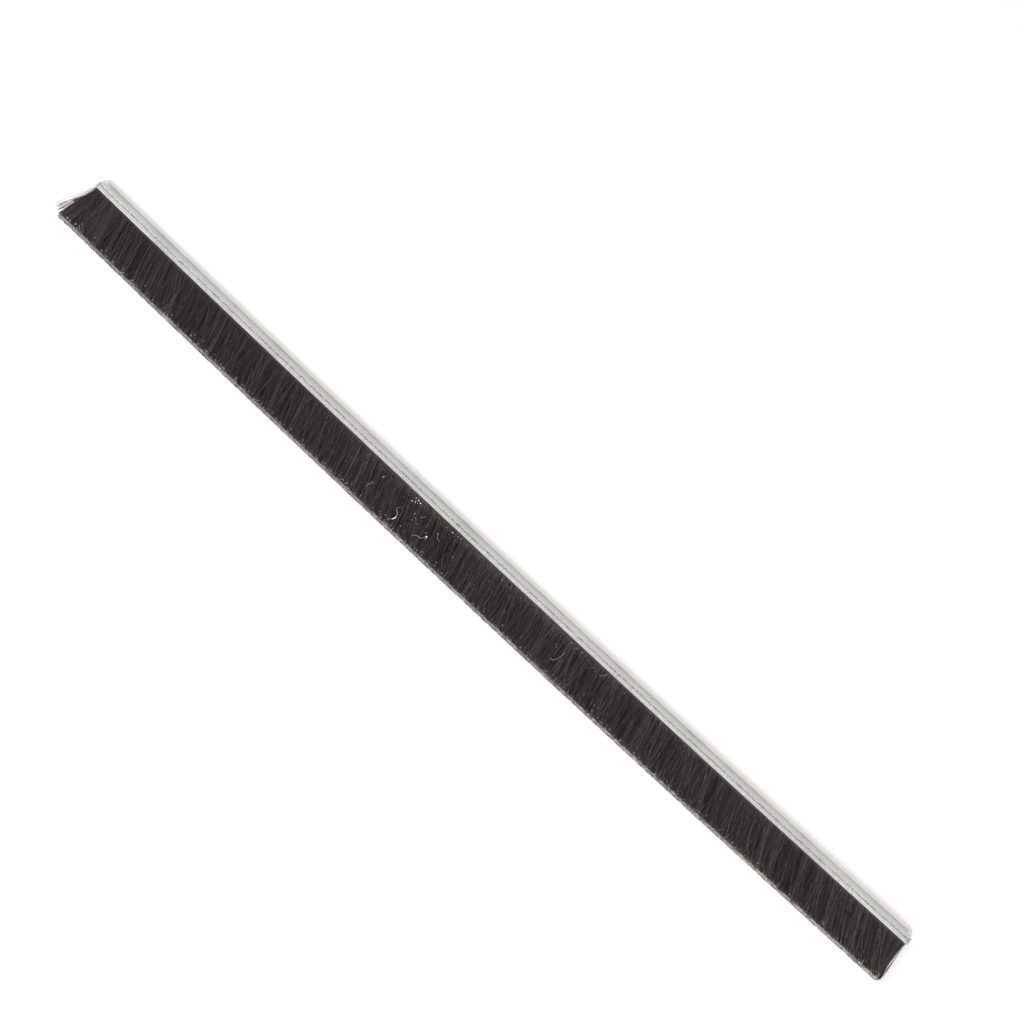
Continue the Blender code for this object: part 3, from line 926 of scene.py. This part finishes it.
def short_filaments():
    rng = np.random.default_rng(33)
    tufts = SHORT_TUFTS
    tuft_x = rng.uniform(START_EDGE - 0.003, END_EDGE - 0.003, tufts)
    tuft_run = FREE_LENGTH - 0.0004 - rng.gamma(1.1, 0.0017, tufts).clip(0, 0.010)
    tuft_pale = 1.6 * rng.uniform(0, 1, tufts) ** 1.2 * np.interp(tuft_x, (-0.30, -0.20), (1.3, 0.8))
    at_end = SHORT_TUFTS_AT_END
    end = END_EDGE + math.tan(END_SPLAY) * FREE_LENGTH
    tuft_x[:at_end] = end - rng.uniform(0.0001, 0.0030, at_end)
    tuft_run[:at_end] = FREE_LENGTH - rng.uniform(0.0002, 0.0050, at_end)
    ends = rng.integers(1, 6, tufts)
    ends[:at_end] = 2
    tuft = np.repeat(np.arange(tufts), ends)
    count = tuft.size
    x = tuft_x[tuft] + rng.normal(0, 0.00024, count)
    run = np.minimum(tuft_run[tuft] + rng.normal(0, 0.00018, count), FREE_LENGTH - 0.0002)
    length = rng.uniform(*SHORT_LENGTH, count)
    slope = lean(x) + rng.normal(0, SHORT_CROSSING, count)
    tip_z = pack_top(run) - 0.00028 + rng.uniform(-0.0001, 0.00035, count)
    roots = in_frame(x - slope * length, -(run - length), pack_top(run - length) - 0.0006)
    tips = in_frame(x, -run, np.minimum(tip_z, TIP_THICKNESS - 0.00032))
    straight = np.zeros((count, 3))
    tone = 0.3 * rng.uniform(0, 1, count)
    paleness = tuft_pale[tuft] * rng.uniform(0.6, 1.0, count)
    add_filaments("filaments_short", roots, tips, straight, tone, paleness, SHORT_DIAMETER, 5, 4)


short_filaments()

# Lint
# Textile fibres, crumbs and dust that have caught in the bristles, as in the picture. They lie on the
# filaments, and each curl is as thick as the few fibres of cotton that it is twisted from.
# Painted shade: lint that has sunk between the filaments is drawn greyer, towards this colour.
LINT_IN_PAINTED_SHADE = "6E6662"
LINT_BRIGHT = "F4F0EC"
# The fuzz is 0.3 mm coarse, more than real fuzz, so that it shows.
LINT_FUZZ_SCALE = 3000.0
LINT_FUZZ_DEPTH = 0.0001
LINT_FUZZ_BUMP = 0.6
LINT_UNEVEN = 0.12
LINT_SHEEN = 0.3
# Each fibre: its thickness, how bright it is, and its route on the strip from the middle and from the mouth.
LINT_FIBRES_MM = (
    (0.30, 0.22, ((-136.2, -32.6), (-136.4, -29.8), (-136.0, -27.3), (-134.9, -25.2), (-133.5, -23.9))),
    (0.34, 0.12, ((-103.4, -40.4), (-101.2, -40.3), (-99.6, -38.6))),
    (0.85, 0.95, ((-99.7, -38.6), (-98.7, -36.9), (-98.2, -34.9), (-98.3, -33.4))),
    (0.34, 0.40, ((-98.3, -33.6), (-98.8, -30.7), (-100.8, -28.9), (-103.2, -27.7))),
    (0.30, 0.20, ((-103.7, -27.2), (-102.8, -24.2), (-100.2, -22.3))),
    (0.34, 0.15, ((-82.8, -16.3), (-79.9, -15.0), (-79.2, -11.3))),
    (
        0.36,
        0.22,
        ((-76.9, -37.0), (-75.0, -34.3), (-72.0, -32.9), (-69.0, -32.5), (-67.4, -29.5), (-66.8, -26.0)),
    ),
    (0.34, 0.10, ((-62.0, -15.5), (-60.5, -16.9), (-59.4, -19.0), (-57.4, -21.3), (-55.2, -21.5))),
    (0.36, 0.16, ((87.7, -31.8), (89.4, -32.3), (91.8, -30.8), (93.6, -26.3), (94.5, -20.7), (95.3, -16.9))),
    (0.34, 0.15, ((99.0, -7.8), (98.3, -5.0), (101.9, -3.8))),
    (0.34, 0.16, ((131.0, -9.3), (133.1, -9.1), (135.5, -5.3), (137.5, -1.6))),
)
# Each crumb that stands out: its width, how bright it is, and its place on the strip.
LINT_CRUMBS_MM = (
    (1.4, 0.95, -98.0, -9.6),
    (1.1, 0.65, -95.2, -8.5),
    (1.5, 1.00, -93.9, -4.4),
    (1.3, 0.95, -91.1, -5.3),
    (1.1, 0.75, -97.3, -4.3),
    (1.0, 0.55, -93.0, -7.6),
    (0.9, 0.45, -96.1, -6.6),
    (1.0, 0.70, -131.6, -12.5),
    (0.9, 0.55, -131.0, -11.0),
    (1.1, 0.45, -88.1, -17.4),
    (0.9, 0.35, -85.0, -20.8),
    (0.9, 0.30, -86.1, -24.6),
    (0.8, 0.30, -80.1, -23.8),
    (1.7, 0.90, -66.3, -27.2),
    (1.1, 0.50, -65.6, -29.0),
    (1.0, 0.60, -69.3, -24.9),
    (0.8, 0.50, -58.8, -5.0),
    (1.3, 0.95, -52.0, -4.7),
    (0.9, 0.55, -46.0, -3.9),
    (1.1, 0.55, -42.6, -3.6),
    (1.0, 0.40, -34.9, -3.8),
    (1.0, 0.40, -60.5, -16.9),
    (0.9, 0.35, -36.7, -24.2),
    (1.0, 0.45, -112.4, -41.3),
    (0.9, 0.50, -109.9, -43.3),
    (0.9, 0.50, -106.3, -40.2),
    (0.9, 0.45, -101.7, -41.9),
    (1.0, 0.55, -44.7, -39.5),
    (0.9, 0.50, -59.9, -41.9),
    (0.9, 0.45, -67.4, -44.4),
    (0.9, 0.25, 159.5, -4.5),
    (0.9, 0.30, 195.5, -2.8),
    (1.0, 0.20, 202.2, -2.9),
    (0.9, 0.20, 209.2, -3.9),
    (0.9, 0.20, 221.8, -4.5),
    (0.9, 0.25, 231.0, -2.7),
    (1.0, 0.80, 160.9, -44.6),
    (0.9, 0.50, 165.2, -45.6),
    (0.9, 0.90, 229.2, -46.0),
    (1.1, 0.55, 94.0, -3.6),
    (1.0, 0.50, 106.8, -4.0),
    (0.8, 0.30, 101.5, -4.3),
    (1.0, 0.35, 144.8, -3.9),
    (0.8, 0.25, 126.5, -9.1),
    (0.9, 0.45, 36.9, -40.7),
)
# The finer crumbs are scattered round a place left of the middle, and thin out away from the channel.
FINE_CRUMBS = 170
FINE_CRUMB_WIDTH_MM = (0.35, 0.75)
FINE_CRUMB_TONE = (0.05, 0.45)
FINE_CRUMB_X_MM = (-20, 130)
FINE_CRUMB_X_LIMIT_MM = 480


def cotton_lint():
    """Cotton lint and dust: matt and fuzzy white, with painted shade where it sinks between the filaments."""
    material, tree, shader = new_material("cotton_lint")
    place = add_node(tree, "ShaderNodeTexCoord").outputs["Object"]
    tone = add_node(tree, "ShaderNodeAttribute", {"attribute_name": "tone"}).outputs["Fac"]
    fuzz = noise(tree, place, LINT_FUZZ_SCALE, 2.0)
    uneven = ranged(tree, fuzz, *NOISE_RANGE, -LINT_UNEVEN, LINT_UNEVEN)
    shade = maths(tree, "ADD", tone, uneven, clamp=True)
    relief = {"Strength": LINT_FUZZ_BUMP, "Distance": LINT_FUZZ_DEPTH, "Height": fuzz}
    bump = add_node(tree, "ShaderNodeBump", links=relief).outputs[0]
    tree.links.new(mixed(tree, shade, linear(LINT_IN_PAINTED_SHADE), linear(LINT_BRIGHT)), shader.inputs["Base Color"])
    tree.links.new(bump, shader.inputs["Normal"])
    shader.inputs["Roughness"].default_value = 1.0
    shader.inputs["Sheen Weight"].default_value = LINT_SHEEN
    return material


COTTON_LINT = cotton_lint()


def add_lint(name, mesh, tone):
    """Makes a piece of lint out of a mesh, with one shade for each of its points."""
    attribute = mesh.attributes.new("tone", "FLOAT", "POINT")
    attribute.data.foreach_set("value", np.ravel(tone))
    mesh.materials.clear()
    mesh.materials.append(COTTON_LINT)
    mesh.shade_smooth()
    piece = bpy.data.objects.new(name, mesh)
    bpy.context.scene.collection.objects.link(piece)
    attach(piece, "root")


def lint_fibres():
    """Curled fibres: each is a tapered tube on a smooth curve that rests on the filaments."""
    for number, (thickness, tone, route) in enumerate(LINT_FIBRES_MM, 1):
        curve = bpy.data.curves.new("lint_fibre", "CURVE")
        curve.dimensions = "3D"
        curve.bevel_depth = thickness / 2000
        curve.bevel_resolution = 1
        curve.resolution_u = 6
        curve.use_fill_caps = True
        spline = curve.splines.new("NURBS")
        spline.points.add(len(route) - 1)
        spline.order_u = 3
        spline.use_endpoint_u = True
        x, y = np.array(route).T / 1000
        rise = 0.0003 * np.sin(np.linspace(0, 3 * math.pi, len(route))) ** 2
        height = np.minimum(pack_top(-y) + rise, TIP_THICKNESS - 0.0006)
        shares = np.linspace(0, 1, len(route))
        for point, place, share in zip(spline.points, in_frame(x, y, height), shares):
            point.co = (*place, 1.0)
            point.radius = 0.35 + 0.65 * math.sin(math.pi * (0.15 + 0.75 * share))
        maker = bpy.data.objects.new("lint_fibre", curve)
        bpy.context.scene.collection.objects.link(maker)
        bpy.context.view_layer.update()
        mesh = bpy.data.meshes.new_from_object(maker.evaluated_get(bpy.context.evaluated_depsgraph_get()))
        bpy.data.objects.remove(maker, do_unlink=True)
        add_lint("lint_fibre_%d" % number, mesh, np.full(len(mesh.vertices), tone))


def lint_crumbs():
    """Crumbs of lint and dust: flat, uneven lumps that lie on the filaments at every angle."""
    rng = np.random.default_rng(41)
    count = FINE_CRUMBS
    fine_width = rng.uniform(*FINE_CRUMB_WIDTH_MM, count)
    fine_tone = rng.uniform(*FINE_CRUMB_TONE, count)
    fine_x = rng.normal(*FINE_CRUMB_X_MM, count).clip(-FINE_CRUMB_X_LIMIT_MM, FINE_CRUMB_X_LIMIT_MM)
    fine_y = -2.5 - rng.gamma(1.5, 6.0, count).clip(0, 40)
    fine = np.stack([fine_width, fine_tone, fine_x, fine_y], axis=1)
    crumbs = bmesh.new()
    tones = []
    for width, tone, x, y in np.concatenate([np.array(LINT_CRUMBS_MM), fine]):
        height = min(float(pack_top(-y / 1000)) + 0.0002, TIP_THICKNESS - width / 2000 - 0.0001)
        centre = Vector(in_frame(np.array([x / 1000]), np.array([y / 1000]), np.array([height]))[0])
        heading = Matrix.Rotation(rng.uniform(0, math.pi), 4, "Z")
        turn = heading @ Matrix.Rotation(rng.uniform(-0.5, 0.5), 4, "X")
        flat = Matrix.Diagonal((1.0, rng.uniform(0.5, 0.9), rng.uniform(0.35, 0.6), 1.0))
        made = bmesh.ops.create_icosphere(crumbs, subdivisions=2, radius=width / 2000)["verts"]
        for vertex in made:
            vertex.co = centre + turn @ flat @ (vertex.co * rng.uniform(0.75, 1.1))
        tones += [tone] * len(made)
    mesh = bpy.data.meshes.new("lint_crumbs")
    crumbs.to_mesh(mesh)
    crumbs.free()
    add_lint("lint_crumbs", mesh, np.array(tones))


lint_fibres()
lint_crumbs()
